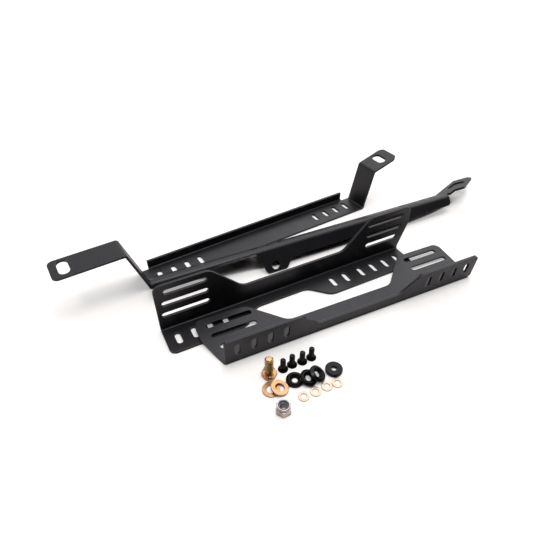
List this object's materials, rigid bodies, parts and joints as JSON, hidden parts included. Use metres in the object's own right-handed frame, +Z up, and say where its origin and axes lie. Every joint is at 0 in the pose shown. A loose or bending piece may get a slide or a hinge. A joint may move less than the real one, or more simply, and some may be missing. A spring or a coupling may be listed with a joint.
{
  "type": "seat mount",
  "caption": "Seat mounting kit: slotted floor rails and folded side mounts in black sheet steel, laid out with belt bolt, lock nut, screws and washers.",
  "frame": {"origin": "on the floor under the foot of the middle side mount, at the middle of its fold", "axes": "+X along the fold of the middle side mount towards its overhanging end, +Y from the foot's free edge towards the upright plate and the rails, +Z up"},
  "size_m": [0.8363, 0.3987, 0.0956],
  "materials": {
    "powder_coat": "satin",
    "yellow_zinc": "satin",
    "silver_zinc": "satin",
    "insert_plastic": "satin",
    "black_oxide": "satin",
    "black_anodised": "satin"
  },
  "bodies": {
    "root": {"far_floor_rail": "powder_coat", "middle_floor_rail": "powder_coat", "middle_side_mount": "powder_coat", "front_side_mount": "powder_coat", "belt_bolt": "yellow_zinc", "bolt_washer_1": "yellow_zinc", "bolt_washer_2": "yellow_zinc", "lock_nut": "silver_zinc", "lock_nut_insert": "insert_plastic", "countersunk_screw_1": "black_oxide", "countersunk_screw_2": "black_oxide", "countersunk_screw_3": "black_oxide", "countersunk_screw_4": "black_oxide", "cup_washer_1": "black_anodised", "cup_washer_2": "black_anodised", "cup_washer_3": "black_anodised", "cup_washer_4": "black_anodised", "spacer_washer_1": "yellow_zinc", "spacer_washer_2": "yellow_zinc", "spacer_washer_3": "yellow_zinc", "spacer_washer_4": "yellow_zinc"}
  },
  "joints": []
}
